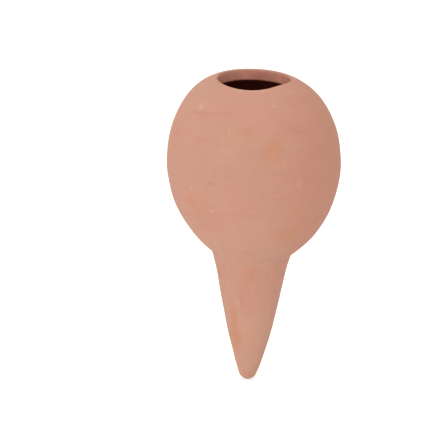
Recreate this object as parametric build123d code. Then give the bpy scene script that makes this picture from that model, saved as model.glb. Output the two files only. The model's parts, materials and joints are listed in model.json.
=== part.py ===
from build123d import *
import os
from math import acos, atan2, cos, degrees, pi, radians, sin, tan

# Self watering spike in unglazed fired clay, millimetres, +Z up.
# A thrown hollow bulb is luted with slip to a hollow pressed spike.
# The origin is where the spike's axis meets the joint, which is the soil line.

# Bulb, with heights counted from the joint
bulb_height = 65.5
bulb_diameter = 64.4
bulb_wall = 3.5
belly_height = 33.7
floor_thickness = 2.2
bulb_lean = 0.7
crown_front_tilt = 2.6
crown_right_tilt = 1.6

# Hand-cut mouth
mouth_radius = 13.45
mouth_offset = 0.5
throat_height = 3.9
lip_radius = 0.6
throat_edge_radius = 0.4

# Joint between bulb and spike
joint_radius = 14.7
neck_bore_radius = 10.4
slip_thickness = 0.8
score_count = 3
score_radius = 0.3
bead_rise = 0.8
bead_drop = 1.0
bead_thickness = 0.25
squeezed_bead_radius = 0.9

# Spike
spike_length = 49.8
spike_lean = 1.9
tip_radius = 3.5
tip_thickness = 11.0
bore_end_radius = 3.2

# How far tools run past the clay that they cut
overrun = 2.0

# Powers of the egg curve, across and along the axis
upper_powers = (2.99, 1.97)
lower_powers = (2.088, 1.743)
egg_steps = 8
# Bearing at which the rings of the bulb and of the slip start, at the back
ring_start = 90
# How late the crown starts to tilt
crown_power = 4.4

# Radius of the mouth every 30 degrees from +X, anticlockwise from above
mouth_outline_shares = (0.985, 0.995, 1.0, 0.99, 1.0, 1.005, 1.0, 0.99, 0.985, 0.965, 0.9, 0.885)
# Where the solid eggs are cut square, inside the mouth and the neck bore
mouth_core_share = 0.75
neck_core_share = 0.8
# Spike outline, as shares of its length and of its radius at the joint
spike_outline_shares = ((0.137, 0.892), (0.45, 0.676), (0.7, 0.478), (0.89, 0.3))
# Slope of the spike's side where it runs into the tip, radius per length
tip_slope = 0.36


def pole_distance(radius, height, widest, powers):
    """Distance from the belly to the pole of an egg curve through one point."""
    across, along = powers
    return height / (1 - (radius / widest) ** across) ** (1 / along)


def height_at(radius, widest, pole, powers):
    """Distance from the belly of an egg curve's point at one radius."""
    across, along = powers
    return pole * (1 - (radius / widest) ** across) ** (1 / along)


def quarter_points(widest, pole, end_radius, powers):
    """Points of an egg curve from the belly to one radius."""
    across, along = powers
    last_angle = acos((end_radius / widest) ** (across / 2))
    angles = [last_angle * step / egg_steps for step in range(egg_steps + 1)]
    return [(widest * cos(a) ** (2 / across), pole * sin(a) ** (2 / along)) for a in angles]


def drift(height):
    """How far the bulb's middle leans to the left at one height."""
    return height * tan(radians(bulb_lean))


def ring_at(radius, height):
    """Ring of the bulb, tilted more and more to the front and the right towards the crown."""
    share = (max(height, 0) / bulb_height) ** crown_power
    turn = Rot(crown_front_tilt * share, crown_right_tilt * share, ring_start)
    return Pos(-drift(height), 0, height) * turn * Circle(radius)


def egg(widest, upper_pole, lower_pole, top_radius, bottom_radius):
    """Solid egg of rings."""
    upper = quarter_points(widest, upper_pole, top_radius, upper_powers)
    lower = quarter_points(widest, lower_pole, bottom_radius, lower_powers)
    points = [(radius, belly_height - drop) for radius, drop in reversed(lower)]
    points += [(radius, belly_height + rise) for radius, rise in upper[1:]]
    return loft([ring_at(radius, height) for radius, height in points])


# Egg curves of the outside and the hollow
outer_radius = bulb_diameter / 2
crown_height = bulb_height - belly_height
outer_upper_pole = pole_distance(mouth_radius + lip_radius, crown_height, outer_radius, upper_powers)
outer_lower_pole = pole_distance(joint_radius, belly_height, outer_radius, lower_powers)
hollow_radius = outer_radius - bulb_wall
hollow_top = bulb_height - throat_height
hollow_upper_pole = pole_distance(mouth_radius, hollow_top - belly_height, hollow_radius, upper_powers)
hollow_lower_pole = pole_distance(
    neck_bore_radius, belly_height - floor_thickness, hollow_radius, lower_powers
)

# The spike is pressed on a little out of square, so the bulb sits to one side of it,
# where its underside still meets the tilted face all round
drop_at_joint = height_at(joint_radius, outer_radius, outer_lower_pole, lower_powers)
drop_inside_joint = height_at(neck_bore_radius, outer_radius, outer_lower_pole, lower_powers)
underside_slope = (drop_inside_joint - drop_at_joint) / (joint_radius - neck_bore_radius)
root_offset = joint_radius * tan(radians(spike_lean + bulb_lean)) / underside_slope
bulb_place = Pos(root_offset, 0, 0)
joint_place = Rot(0, spike_lean, 0)
joint_plane = Plane(joint_place)

# Scored rings on both joint faces
score_step = (joint_radius - neck_bore_radius) / (score_count + 1)
score_radii = [neck_bore_radius + score_step * (ring + 1) for ring in range(score_count)]


def scored(piece, face_height):
    """Piece with rings scratched into its joint face."""
    for radius in score_radii:
        piece -= joint_place * Pos(0, 0, face_height) * Torus(radius, score_radius)
    return piece


def mouth_cutter():
    """Upright prism with the hand-cut outline of the mouth."""
    count = len(mouth_outline_shares)
    points = []
    for index, share in enumerate(mouth_outline_shares):
        angle = 2 * pi * index / count
        points.append((mouth_radius * share * cos(angle), mouth_radius * share * sin(angle)))
    prism = extrude(make_face(Spline(*points, periodic=True)), outer_upper_pole + overrun)
    return Pos(mouth_offset - drift(bulb_height), 0, belly_height) * prism


def top_ring(piece):
    """Highest closed edge of a piece."""
    return piece.edges().filter_by(lambda edge: edge.is_closed).sort_by(Axis.Z)[-1]


def make_bulb():
    """Hollow globe with a cut mouth above and a scored face below."""
    core_radius = mouth_radius * mouth_core_share
    shell = egg(outer_radius, outer_upper_pole, outer_lower_pole, core_radius, neck_bore_radius)
    shell -= mouth_cutter()
    shell = fillet(top_ring(shell), lip_radius)
    floor_radius = neck_bore_radius * neck_core_share
    shell -= egg(hollow_radius, hollow_upper_pole, hollow_lower_pole, core_radius, floor_radius)
    shell = fillet(top_ring(shell), throat_edge_radius)
    shell = split(bulb_place * shell, joint_plane.offset(slip_thickness / 2), Keep.TOP)
    shell -= joint_place * extrude(Circle(neck_bore_radius), floor_thickness + overrun)
    return scored(shell, slip_thickness / 2)


def make_spike():
    """Hollow cone with a rounded solid tip and a scored root."""
    root_height = -slip_thickness / 2
    tip_angle = atan2(1, tip_slope)
    tip_centre = tip_radius - spike_length
    points = [(joint_radius, root_height)]
    points += [(joint_radius * share, -spike_length * depth) for depth, share in spike_outline_shares]
    points.append((tip_radius * sin(tip_angle), tip_centre - tip_radius * cos(tip_angle)))
    root_direction = Vector(*points[1]) - Vector(*points[0])
    side = Spline(*points, tangents=[root_direction, (-tip_slope, -1)])
    tip = JernArc(side @ 1, side % 1, tip_radius, -degrees(tip_angle))
    outline = side + tip + Polyline(tip @ 1, (0, root_height), points[0])
    cone = revolve(make_face(Plane.XZ * outline), Axis.Z)

    bore_end = tip_thickness - spike_length
    rounding_point = (bore_end_radius, bore_end + bore_end_radius)
    bore = Polyline((0, bore_end), (0, 0), (neck_bore_radius, 0), rounding_point)
    bore += RadiusArc(rounding_point, (0, bore_end), bore_end_radius)
    cone -= revolve(make_face(Plane.XZ * bore), Axis.Z)
    return scored(joint_place * cone, root_height)


def make_slip(bulb, spike):
    """Ring of slip that fills the joint, the scratches and the outside corner."""
    top_height = bead_rise + score_radius
    outer_top = (joint_radius + bead_rise / underside_slope, top_height)
    outer_bottom = (joint_radius - bead_drop, -bead_drop)
    blank = Polyline(outer_bottom, (neck_bore_radius, -bead_drop), (neck_bore_radius, top_height), outer_top)
    blank += ThreePointArc(outer_top, (joint_radius + bead_thickness, 0), outer_bottom)
    ring = revolve(make_face(Plane.XZ * blank), Axis.Z)
    ring += Torus(neck_bore_radius, squeezed_bead_radius)
    return joint_place * Rot(0, 0, ring_start) * ring - bulb - spike


bulb = make_bulb()
spike = make_spike()
seam_slip = make_slip(bulb, spike)

os.makedirs("parts", exist_ok=True)
for name, solid in (("bulb", bulb), ("seam_slip", seam_slip), ("spike", spike)):
    export_step(solid, f"parts/{name}.step")
    print(name, round(solid.volume, 1), solid.is_valid, len(solid.solids()), solid.bounding_box())
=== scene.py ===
"""Self watering spike: a thrown clay bulb with a hand-cut mouth, luted with slip to a hollow clay spike."""
import json
import math

import bpy
import numpy as np
from bpy.props import FloatProperty, FloatVectorProperty, IntProperty, PointerProperty
from bpy.types import Operator, Panel, PropertyGroup
from mathutils import Euler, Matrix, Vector


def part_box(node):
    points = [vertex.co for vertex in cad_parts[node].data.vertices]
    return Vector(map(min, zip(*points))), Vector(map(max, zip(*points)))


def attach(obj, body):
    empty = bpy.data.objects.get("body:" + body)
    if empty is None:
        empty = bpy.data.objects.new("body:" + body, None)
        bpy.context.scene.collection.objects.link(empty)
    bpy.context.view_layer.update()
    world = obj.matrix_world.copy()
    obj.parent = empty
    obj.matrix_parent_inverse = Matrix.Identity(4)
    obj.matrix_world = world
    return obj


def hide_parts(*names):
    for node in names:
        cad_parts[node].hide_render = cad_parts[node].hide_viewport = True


bl_info = {
    "name": "Self Watering Spike",
    "version": (1, 0, 0),
    "blender": (4, 5, 0),
    "location": "3D View > Sidebar > Watering Spike",
    "description": "Makes the clay bulb, spike, slip joint and grit over the packed frame, and the stage",
    "category": "Object",
}

# The frame, which gives the sizes that the clay pieces share with the solids
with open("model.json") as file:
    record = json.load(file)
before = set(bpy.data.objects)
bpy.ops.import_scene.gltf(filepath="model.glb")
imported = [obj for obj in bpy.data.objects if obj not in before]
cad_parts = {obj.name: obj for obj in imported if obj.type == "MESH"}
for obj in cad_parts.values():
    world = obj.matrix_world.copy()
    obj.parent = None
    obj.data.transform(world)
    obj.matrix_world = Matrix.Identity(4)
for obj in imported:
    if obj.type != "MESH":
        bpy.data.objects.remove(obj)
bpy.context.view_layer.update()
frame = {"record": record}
MILLIMETRE = 0.001
mounts = {mount["name"]: mount for mount in frame["record"]["mounts"]}
soil_spike = mounts["soil_spike"]
filling_mouth = mounts["filling_mouth"]
bulb_low, bulb_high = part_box("bulb")
spike_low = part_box("spike")[0]
joint_radius = soil_spike["dims"]["r_mm"] * MILLIMETRE
spike_length = soil_spike["dims"]["length_mm"] * MILLIMETRE
spike_lean = math.asin(-soil_spike["axis"][0])
bulb_height = filling_mouth["pos_m"][2]
bulb_diameter = bulb_high.y - bulb_low.y
throat_height = filling_mouth["dims"]["length_mm"] * MILLIMETRE

# Powers of the egg curve above and below the belly, across and along the axis
UPPER_POWERS = (2.99, 1.97)
LOWER_POWERS = (2.088, 1.743)
# How late the crown starts to tilt
CROWN_POWER = 4.4
# Radius of the mouth every 30 degrees from +X, anticlockwise from above
MOUTH_SHARES = (0.985, 0.995, 1.0, 0.99, 1.0, 1.005, 1.0, 0.99, 0.985, 0.965, 0.9, 0.885)
# Spike outline from the joint, as shares of its length and of its radius at the joint
SPIKE_SHARES = ((0.0, 1.0), (0.137, 0.892), (0.45, 0.676), (0.7, 0.478), (0.89, 0.3))
# Slope of the spike's side where it runs into the tip, radius per length
TIP_SLOPE = 0.36
# Rounds of the searches for a point of an egg curve, for a crossing and for the start of a rounding
LOCATE_ROUNDS = 12
BISECT_ROUNDS = 40
ROUNDING_ROUNDS = 15


def size(name, description, default):
    """Property that holds a length in metres."""
    return FloatProperty(name=name, description=description, default=default, unit="LENGTH", precision=5)


def turn(name, description, default):
    """Property that holds an angle."""
    return FloatProperty(name=name, description=description, default=default, unit="ROTATION")


def number(name, description, default):
    """Property that holds a plain factor."""
    return FloatProperty(name=name, description=description, default=default)


def colour(name, description, default):
    """Property that holds a colour in linear light."""
    return FloatVectorProperty(
        name=name, description=description, default=default, size=3, subtype="COLOR", min=0, max=1
    )


class BulbSizes(PropertyGroup):
    """Sizes of the thrown bulb."""

    diameter: size("Diameter", "Widest width of the bulb", bulb_diameter)
    height: size("Height", "From the joint to the lip", bulb_height)
    belly_height: size("Belly Height", "Height of the widest ring over the joint", 0.0337)
    shoulder_height: size("Shoulder Height", "Height of the fullest part of the shoulder", 0.052)
    shoulder_swell: size("Shoulder Swell", "How far the shoulder swells out of the egg curve", 0.00032)
    wall: size("Wall", "Thickness of the thrown wall", 0.0035)
    floor: size("Floor", "Thickness of the clay round the neck bore", 0.0022)
    lean: turn("Lean", "How far the bulb's axis leans to the left", math.radians(0.7))
    crown_front_tilt: turn("Crown Front Tilt", "How far the crown tilts to the front", math.radians(2.6))
    crown_right_tilt: turn("Crown Right Tilt", "How far the crown tilts to the right", math.radians(1.6))
    mouth_radius: size("Mouth Radius", "Half width of the cut mouth", 0.01345)
    mouth_offset: size("Mouth Offset", "How far right of the crown's middle it is cut", 0.0005)
    throat_height: size("Throat Height", "Height of the cut wall under the lip", throat_height)
    lip_radius: size("Lip Radius", "Rounding of the lip", 0.0006)
    throat_edge_radius: size("Throat Edge Radius", "Rounding under the cut wall", 0.0004)


class SpikeSizes(PropertyGroup):
    """Sizes of the pressed spike."""

    length: size("Length", "From the joint to the tip", spike_length)
    root_radius: size("Root Radius", "Radius at the joint", joint_radius)
    lean: turn("Lean", "How far the spike leans", spike_lean)
    bore_radius: size("Bore Radius", "Radius of the bore at the joint", 0.0104)
    bore_end_radius: size("Bore End Radius", "Rounding of the bore's end", 0.0032)
    tip_radius: size("Tip Radius", "Rounding of the tip", 0.0035)
    tip_thickness: size("Tip Thickness", "Solid clay between the bore and the tip", 0.011)


class SlipSizes(PropertyGroup):
    """Sizes of the ring of slip in the joint."""

    thickness: size("Thickness", "Gap between the joint faces", 0.0008)
    spread: size("Spread", "How far the smear reaches out under the bulb", 0.0012)
    proud: size("Proud", "How far the smear stands out of the corner", 0.00008)
    drop: size("Drop", "How far the smear reaches down the spike", 0.0009)
    feather: size("Feather", "How deep the smear's edges dive into the clay", 0.00003)
    inner_bead: size("Inner Bead", "Radius of the bead squeezed into the bore", 0.0009)


class FinishSizes(PropertyGroup):
    """Relief of the clay's skin."""

    ring_pitch: size("Ring Pitch", "Spacing of the turning rings", 0.0021)
    ring_depth: size("Ring Depth", "Depth of the turning rings", 0.00004)
    finger_pitch: size("Finger Pitch", "Spacing of the throwing ridges inside", 0.0052)
    finger_depth: size("Finger Depth", "Depth of the throwing ridges inside", 0.0006)
    lump_pitch: size("Lump Pitch", "Spacing of the soft unevenness", 0.014)
    lump_depth: size("Lump Depth", "Depth of the soft unevenness", 0.00022)
    pit_spacing: size("Pit Spacing", "Spacing of the pores that may break the skin", 0.0052)
    pit_radius: size("Pit Radius", "Radius of the largest pores", 0.00065)
    pit_depth: size("Pit Depth", "Depth of the pores", 0.00018)
    seed: IntProperty(name="Seed", description="Which skin out of many", default=11)


class GritSizes(PropertyGroup):
    """Grains of lime and burnt clay in the skin."""

    per_area: number("Grains per Square Metre", "How thickly the grains lie", 16000.0)
    radius: size("Grain Radius", "Radius of the largest grains", 0.00021)
    sunk: number("Sunk Share", "Share of a grain's radius that lies under the skin", 0.62)
    seed: IntProperty(name="Seed", description="Which scatter out of many", default=5)


class ClayColours(PropertyGroup):
    """Colours of the fired clay and of the light and shade painted on it, in linear light."""

    salmon: colour("Salmon", "Pinker clay", (0.625, 0.325, 0.236))
    biscuit: colour("Biscuit", "Yellower clay", (0.610, 0.331, 0.235))
    slip: colour("Slip", "Brushed slip", (0.612, 0.329, 0.238))
    rust: colour("Rust", "Iron-rich patches", (0.618, 0.290, 0.178))
    blush: colour("Blush", "Redder streaks", (0.600, 0.278, 0.198))
    lime: colour("Lime", "Pale specks of lime", (0.700, 0.420, 0.310))
    bloom: colour("Bloom", "Dull pale bloom of salts", (0.600, 0.345, 0.245))
    pore: colour("Pore", "Shaded bottoms of the pores", (0.440, 0.195, 0.135))
    inside: colour("Inside", "Rough clay on the floor of the hollow and in the bore", (0.330, 0.130, 0.080))
    # Painted shade: near-black clay for the hollow under the crown, where little light reaches inside
    painted_crown_shade: colour("Sooty", "Smoked clay under the crown, inside", (0.138, 0.024, 0.013))
    cut: colour("Cut", "Fresh clay of the cut wall", (0.585, 0.252, 0.180))
    # Painted shade: a redder, darker tone for the right flank, the side away from the key lamp
    flank: colour("Flank", "Redder clay of the right flank", (0.612, 0.297, 0.208))
    # Painted light: a paler tone towards the tip of the spike
    pale: colour("Pale", "Paler clay towards the tip", (0.640, 0.358, 0.252))


class StageSizes(PropertyGroup):
    """Camera, light and floor."""

    camera_distance: size("Camera Distance", "From the camera to the spike's middle", 1.5)
    camera_elevation: turn("Camera Elevation", "How far the camera looks down", math.radians(16.0))
    lens: number("Lens", "Focal length in millimetres on a 36 mm sensor", 338.8)
    aim_height: size("Aim Height", "Height that the camera looks at", 0.0077)
    shift_x: number("Shift X", "Framing to the side, in picture widths", -0.0856)
    shift_y: number("Shift Y", "Framing upwards, in picture widths", 0.0371)
    floor_width: size("Floor Width", "Width of the pale floor", 8.0)
    world_strength: number("World Strength", "Strength of the even light", 0.66)
    key_power: number("Key Power", "Power of the large lamp at the upper left, in watts", 18.0)
    fill_power: number("Fill Power", "Power of the low lamp in front, in watts", 12.0)
    top_power: number("Top Power", "Power of the lamp overhead, in watts", 8.5)


class WateringSpike(PropertyGroup):
    """Everything that a user may change."""

    bulb: PointerProperty(type=BulbSizes)
    spike: PointerProperty(type=SpikeSizes)
    slip: PointerProperty(type=SlipSizes)
    finish: PointerProperty(type=FinishSizes)
    grit: PointerProperty(type=GritSizes)
    colours: PointerProperty(type=ClayColours)
    stage: PointerProperty(type=StageSizes)


def settings():
    """The settings of the scene in use."""
    return bpy.context.scene.watering_spike


# Form of the thrown clay


def pole_distance(radius, height, widest, powers):
    """Distance from the belly to the pole of an egg curve through one point."""
    across, along = powers
    return height / (1 - (radius / widest) ** across) ** (1 / along)


def root_offset(spike, bulb):
    """How far right of the spike the bulb sits, so that its underside meets the tilted joint all round."""
    widest = bulb.diameter / 2
    across, along = LOWER_POWERS
    pole = pole_distance(spike.root_radius, bulb.belly_height, widest, LOWER_POWERS)
    inner, outer = (
        pole * (1 - (radius / widest) ** across) ** (1 / along)
        for radius in (spike.bore_radius, spike.root_radius)
    )
    slope = (inner - outer) / (spike.root_radius - spike.bore_radius)
    return spike.root_radius * math.tan(spike.lean + bulb.lean) / slope


class Egg:
    """Surface of rings about an axis that leans to the left, tilted more and more towards the crown."""

    def __init__(self, bulb, spike, inset, top, bottom):
        """top and bottom are the radius and height of a point that each half passes through."""
        self.bulb = bulb
        self.foot = root_offset(spike, bulb)
        self.widest = bulb.diameter / 2 - inset
        self.belly = bulb.belly_height
        self.upper_pole = pole_distance(top[0], top[1] - self.belly, self.widest, UPPER_POWERS)
        self.lower_pole = pole_distance(bottom[0], self.belly - bottom[1], self.widest, LOWER_POWERS)

    def centre(self, height):
        """X of the middle of the ring at a height."""
        return self.foot - height * math.tan(self.bulb.lean)

    def lift(self, height, x, y):
        """How far the crown's tilt lifts a point of a ring."""
        share = (np.maximum(height, 0) / self.bulb.height) ** CROWN_POWER
        right = (x - self.centre(height)) * math.tan(self.bulb.crown_right_tilt)
        return share * (y * math.tan(self.bulb.crown_front_tilt) - right)

    def point(self, tilt, bearing):
        """Points at a tilt above or below the belly and a bearing round the ring, both angles."""
        upper = tilt > 0
        across = np.where(upper, UPPER_POWERS[0], LOWER_POWERS[0])
        along = np.where(upper, UPPER_POWERS[1], LOWER_POWERS[1])
        pole = np.where(upper, self.upper_pole, self.lower_pole)
        radius = self.widest * np.cos(tilt) ** (2 / across)
        height = self.belly + np.sign(tilt) * pole * np.abs(np.sin(tilt)) ** (2 / along)
        x, y = self.centre(height) + radius * np.cos(bearing), radius * np.sin(bearing)
        return np.stack([x, y, height + self.lift(height, x, y)], -1)

    def locate(self, x, y, upper=True):
        """Tilt, bearing and height of the points over or under a place in plan."""
        across, along = UPPER_POWERS if upper else LOWER_POWERS
        rise = self.upper_pole if upper else -self.lower_pole
        height = np.full_like(x, self.belly + rise)
        for _ in range(LOCATE_ROUNDS):
            radius = np.hypot(x - self.centre(height), y)
            share = np.clip(radius / self.widest, 0, 1)
            height = self.belly + rise * (1 - share**across) ** (1 / along)
        tilt = np.arccos(share ** (across / 2)) * np.sign(rise)
        bearing = np.arctan2(y, x - self.centre(height))
        return tilt, bearing, height + self.lift(height, x, y)


def outer_egg(bulb, spike):
    """Outside of the bulb."""
    return Egg(bulb, spike, 0, (bulb.mouth_radius + bulb.lip_radius, bulb.height), (spike.root_radius, 0))


def hollow_egg(bulb, spike):
    """Inside of the bulb."""
    top = (bulb.mouth_radius, bulb.height - bulb.throat_height)
    return Egg(bulb, spike, bulb.wall, top, (spike.bore_radius, bulb.floor))


def ring_bearings(columns):
    """Evenly spaced bearings round a ring, in radians from +X."""
    return np.linspace(0, 2 * np.pi, columns, endpoint=False)


def around(shares, bearings):
    """Smooth closed curve through values that are spaced evenly round a ring."""
    count = len(shares)
    waves = np.fft.rfft(shares) / count
    total = np.full_like(bearings, waves[0].real)
    for order in range(1, len(waves)):
        weight = 1 if 2 * order == count else 2
        total += weight * (waves[order] * np.exp(1j * order * bearings)).real
    return total


def smooth_step(low, high, value):
    """0 below low, 1 above high and a soft rise between."""
    share = np.clip((value - low) / (high - low), 0, 1)
    return share * share * (3 - 2 * share)


def bisect(test, low, high):
    """Where test turns from negative to positive between two arrays."""
    for _ in range(BISECT_ROUNDS):
        middle = (low + high) / 2
        above = test(middle) > 0
        low, high = np.where(above, low, middle), np.where(above, middle, high)
    return (low + high) / 2


def spacing(count):
    """Shares from 0, left out, to 1."""
    return np.linspace(0, 1, count + 1)[1:]


def between(first, last, count):
    """Rings from one ring, left out, to another."""
    return [first + (last - first) * share for share in spacing(count)]


def joint_turn(points, lean):
    """Points turned from the upright to the joint's own axis."""
    cosine, sine = math.cos(lean), math.sin(lean)
    x, y, z = points[..., 0], points[..., 1], points[..., 2]
    return np.stack([x * cosine + z * sine, y, z * cosine - x * sine], -1)


def joint_height(points, lean):
    """Height of points over the joint, along the joint's own axis."""
    return points[..., 2] * math.cos(lean) + points[..., 0] * math.sin(lean)


def joint_ring(spike, bearings, radius, height):
    """Ring about the joint's axis, at one radius and height or at one for each bearing."""
    upright = [radius * np.cos(bearings), radius * np.sin(bearings), height + 0 * bearings]
    return joint_turn(np.stack(upright, -1), spike.lean)


# Places on the outside, by bearing from the front in degrees, positive to the right, and height

FRONT = -math.pi / 2


def bulb_place(egg, bearing, height):
    """Point on the outside of the bulb."""
    upper = height > egg.belly
    pole, powers = (egg.upper_pole, UPPER_POWERS) if upper else (egg.lower_pole, LOWER_POWERS)
    drop = min(abs(height - egg.belly) / pole, 1.0)
    tilt = math.asin(drop ** (powers[1] / 2)) * (1 if upper else -1)
    return egg.point(np.float64(tilt), np.float64(FRONT + math.radians(bearing)))


def bulb_places(egg, marks):
    """Points of the marks on the outside of the bulb."""
    return [bulb_place(egg, bearing, height * MILLIMETRE) for _, bearing, height, *_ in marks]


# Soft swells, positive, and hollows, negative, left by the hands: bearing in degrees, then height,
# spread and depth in millimetres
BULB_SWELLS = (
    (-138, 64.5, 7.0, 0.15),
    (130, 64.0, 6.0, 0.15),
    (106, 59.0, 7.5, 0.22),
    (-100, 53.5, 5.5, -0.24),
    (-81, 20.0, 7.0, 0.34),
    (-88, 3.0, 4.5, -0.35),
    (-112, 62.0, 6.0, 0.14),
    (72, 2.1, 4.0, -0.4),
    (160, 40.0, 14.0, -0.3),
    (-150, 22.0, 12.0, -0.25),
    (20, 26.0, 12.0, -0.12),
)
SPIKE_SWELLS = (
    (-70, -20.0, 9.0, -0.12),
    (85, -32.0, 11.0, 0.28),
    (150, -12.0, 10.0, -0.2),
    (-160, -34.0, 8.0, -0.15),
)


def swell(points, centres, table, middle):
    """Points pushed out from a middle line by soft round swells."""
    out = points - middle
    out = out / np.linalg.norm(out, axis=-1, keepdims=True)
    push = np.zeros(points.shape[:-1])
    for centre, (_, _, spread, depth) in zip(centres, table):
        far = np.linalg.norm(points - centre, axis=-1) / (spread * MILLIMETRE)
        push += depth * MILLIMETRE * np.exp(-far * far)
    return points + out * push[..., None]


def skin(name, rings, poles=()):
    """Closed mesh through rings of points, ending in poles or joined last to first."""
    grid = np.array(rings)
    rows, columns = grid.shape[:2]
    points = grid.reshape(-1, 3)
    index = np.arange(rows * columns).reshape(rows, columns)
    lower = index if not poles else index[:-1]
    upper = np.roll(index, -1, 0) if not poles else index[1:]
    quads = np.stack([lower, np.roll(lower, -1, 1), np.roll(upper, -1, 1), upper], -1).reshape(-1, 4)
    faces = quads.tolist()
    if poles:
        points = np.concatenate([points, np.array(poles)])
        first, last = len(points) - 2, len(points) - 1
        for a, b in zip(index[0].tolist(), np.roll(index[0], -1).tolist()):
            faces.append([first, b, a])
        for a, b in zip(index[-1].tolist(), np.roll(index[-1], -1).tolist()):
            faces.append([last, a, b])
    corners = points[quads]
    spread = np.cross(corners[:, 2] - corners[:, 0], corners[:, 3] - corners[:, 1])
    if np.einsum("ij,ij->", corners.mean(1), spread) < 0:
        faces = [face[::-1] for face in faces]
    mesh = bpy.data.meshes.new(name)
    mesh.from_pydata(points.tolist(), [], faces)
    mesh.polygons.foreach_set("use_smooth", [True] * len(mesh.polygons))
    mesh.update()
    piece = bpy.data.objects.new(name, mesh)
    bpy.context.scene.collection.objects.link(piece)
    return piece


def note(piece, name, values):
    """Keeps one number for each point of a piece, under a name that materials read."""
    held = piece.data.attributes.new(name, "FLOAT", "POINT")
    held.data.foreach_set("value", np.asarray(values, np.float32).ravel())


def positions(piece):
    """Places of a piece's points."""
    flat = np.zeros(len(piece.data.vertices) * 3, np.float32)
    piece.data.vertices.foreach_get("co", flat)
    return flat.reshape(-1, 3).astype(float)


def move(piece, points):
    """Puts a piece's points in new places."""
    piece.data.vertices.foreach_set("co", points.astype(np.float32).ravel())
    piece.data.update()


# Marks that the fire and the hands left, with a painted highlight and a painted shade among them: kind,
# bearing, height, half width, half height and tilt, then how strongly it shows. Bearing and tilt are in
# degrees and the rest in millimetres.
BULB_MARKS = (
    ("blush", -47, 57.2, 5.5, 1.8, 0, 0.85),
    ("blush", -29, 58.3, 8.0, 1.7, 0, 0.5),
    ("bloom", -11, 56.7, 7.0, 0.8, 0, 0.6),
    ("blush", 33, 52.9, 7.0, 1.2, -13, 0.85),
    ("blush", 27.5, 55.5, 6.0, 0.9, -12, 0.7),
    ("blush", 48.7, 45.0, 7.0, 5.5, 0, 0.45),
    ("bloom", 27, 48.0, 6.5, 3.2, -10, 0.5),
    ("rust", -6.5, 52.6, 6.0, 4.0, 0, 0.5),
    ("rust", 13.0, 46.2, 6.0, 4.5, 40, 0.8),
    ("lime", 14, 46.0, 0.5, 0.5, 0, 0.9),
    ("rust", -46, 24.8, 4.6, 7.4, 12, 0.6),
    ("rust", 27.5, 13.0, 6.0, 5.0, 0, 0.7),
    ("rust", 35, 21.0, 5.0, 4.0, 0, 0.5),
    ("blush", 38, 34.3, 7.0, 2.2, -15, 0.75),
    ("lime", -52, 59.0, 1.4, 1.4, 0, 0.8),
    ("lime", -18, 53.4, 0.6, 0.9, 20, 0.9),
    ("lime", 19.5, 61.5, 0.5, 0.5, 0, 1.0),
    ("lime", 21.6, 42.3, 0.8, 0.8, 0, 0.5),
    ("lime", -45.3, 30.5, 0.7, 1.0, 0, 0.8),
    ("lime", -30.9, 22.6, 1.2, 1.0, 0, 0.7),
    ("lime", 3.8, 20.4, 0.9, 1.2, 0, 0.5),
    ("lime", 30.4, 33.8, 1.3, 3.0, 0, 0.6),
    ("pit", -29.3, 33.6, 0.8, 0.7, 0, 0.7),
    ("pit", 29, 34.8, 0.8, 0.8, 0, 0.35),
    ("bloom", -39.6, 6.0, 4.5, 3.4, 0, 0.8),
    ("bloom", -18, 7.4, 6.0, 1.3, 0, 0.8),
    ("bloom", 27, 5.0, 5.5, 1.8, 0, 0.8),
    ("bloom", 10.1, 2.2, 3.4, 1.4, 0, 0.8),
    # Painted shade in the crease just above the joint
    ("rust", -3.5, 4.6, 5.0, 1.8, 0, 0.65),
    ("blush", 7, 26.5, 11.0, 8.5, 0, 0.5),
    ("blush", -39, 20.0, 9.5, 8.5, 0, 0.62),
    ("lime", -20, 47.0, 10.0, 9.0, 0, 0.42),
    # Painted highlight along the crest of the near lip
    ("lime", -3, 65.4, 8.5, 0.4, -1, 0.75),
)
SPIKE_MARKS = (
    ("rust", -39, -23.4, 1.9, 5.8, 0, 1.0),
    ("rust", -40, -31.0, 3.1, 6.6, 0, 1.0),
    ("lime", -27, -17.0, 0.7, 2.5, 25, 0.6),
    ("rust", 2.5, -4.8, 3.2, 3.4, 0, 0.74),
    ("rust", 40.1, -3.2, 2.2, 2.2, 0, 0.6),
    ("blush", -2, -18.5, 4.0, 1.8, 0, 0.5),
    ("pit", 49.4, -13.0, 0.7, 0.7, 0, 0.5),
    ("pit", 44.2, -25.5, 0.5, 1.2, 0, 0.5),
    ("bloom", 10, -1.4, 7.0, 0.9, 0, 0.6),
    ("blush", 0, -9.0, 9.0, 8.0, 0, 0.45),
    ("blush", -22, -46.6, 0.4, 1.4, 10, 0.9),
    ("blush", 10, -46.8, 0.4, 1.4, -8, 0.9),
)
MARK_KINDS = ("blush", "bloom", "rust", "lime", "pit")
# Kinds of the marks scattered over the sides and back, with their half widths and half heights
SCATTER_KINDS = (
    ("blush", (3.0, 8.0), (0.5, 1.6)),
    ("rust", (2.0, 4.5), (2.0, 5.5)),
    ("bloom", (3.0, 7.0), (1.0, 3.4)),
    ("lime", (0.5, 1.3), (0.5, 1.2)),
    ("lime", (0.5, 1.0), (0.5, 1.0)),
    ("pit", (0.6, 0.9), (0.6, 0.9)),
)
# Bearings from the front that they keep to, their tilts and how strongly they show
SCATTER_BEARINGS = (62, 298)
SCATTER_TILTS = (-12, 12)
SCATTER_STRENGTHS = (0.5, 0.9)
# How fast a mark fades outwards, and how much the way into the clay counts in that
FADE_RATE = 0.8
DEPTH_WEIGHT = 0.3

# Where the painted shade of the bulb's right flank, the side away from the key lamp, starts and ends
FLANK_SHADE_START, FLANK_SHADE_END = 0.003, 0.022
# Depths under the joint where the painted light towards the spike's tip starts and ends
TIP_LIGHT_START, TIP_LIGHT_END = 0.014, 0.028


def painted_flank_shade(points):
    """How much painted shade of the right flank the bulb and its joint carry at each point."""
    return smooth_step(FLANK_SHADE_START, FLANK_SHADE_END, points[:, 0])


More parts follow.
